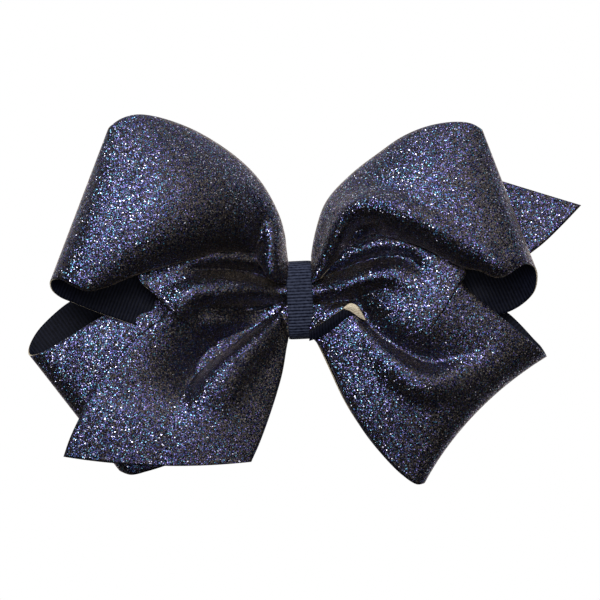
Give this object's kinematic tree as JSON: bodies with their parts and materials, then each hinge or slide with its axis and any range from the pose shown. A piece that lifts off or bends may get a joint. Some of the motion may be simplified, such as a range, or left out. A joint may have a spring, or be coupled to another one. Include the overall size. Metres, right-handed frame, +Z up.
{
  "type": "cheer hair bow",
  "caption": "Lined glitter ribbon hair bow with four loops and two tails, bound by a centre wrap on a sprung pinch clip.",
  "frame": {"origin": "on the flat back of the clip's lower jaw, level with the middle of the centre wrap", "axes": "+X to the right across the bow, +Y towards the head, +Z up; the bow faces -Y"},
  "size_m": [0.2061, 0.0443, 0.1332],
  "materials": {
    "glitter_fabric": "navy glitter fabric, fine sparkling grains",
    "grosgrain_lining": "navy ribbed grosgrain",
    "wrap_grosgrain": "navy ribbed grosgrain, slightly glossy",
    "waxed_thread": "waxed twisted thread",
    "hot_glue": "milky hot melt glue",
    "clip_steel": "nickel plated stamped steel",
    "pin_steel": "turned steel pin",
    "spring_steel": "drawn spring wire",
    "grip_rubber": "soft non-slip pad"
  },
  "bodies": {
    "bow": {"upper_ribbon_glitter": "glitter_fabric", "lower_ribbon_glitter": "glitter_fabric", "upper_ribbon_lining": "grosgrain_lining", "lower_ribbon_lining": "grosgrain_lining", "center_wrap": "wrap_grosgrain", "gathering_thread": "waxed_thread", "glue_dot_left": "hot_glue", "glue_dot_right": "hot_glue", "wrap_seam_glue": "hot_glue", "clip_upper_jaw": "clip_steel", "clip_pin": "pin_steel", "clip_spring": "spring_steel", "grip_pad": "grip_rubber", "clip_lining": "grosgrain_lining"},
    "lower_jaw": {"clip_lower_jaw": "clip_steel"}
  },
  "joints": [
    {"name": "clip_open", "type": "hinge", "parent": "bow", "child": "lower_jaw", "pos_m": [-0.013, -0.0024, 0], "axis": [0, 0, 1], "range_deg": [0, 24], "stiffness_Nm_per_rad": 0.02, "springref_deg": -57.3, "deforming": ["clip_spring"]}
  ]
}
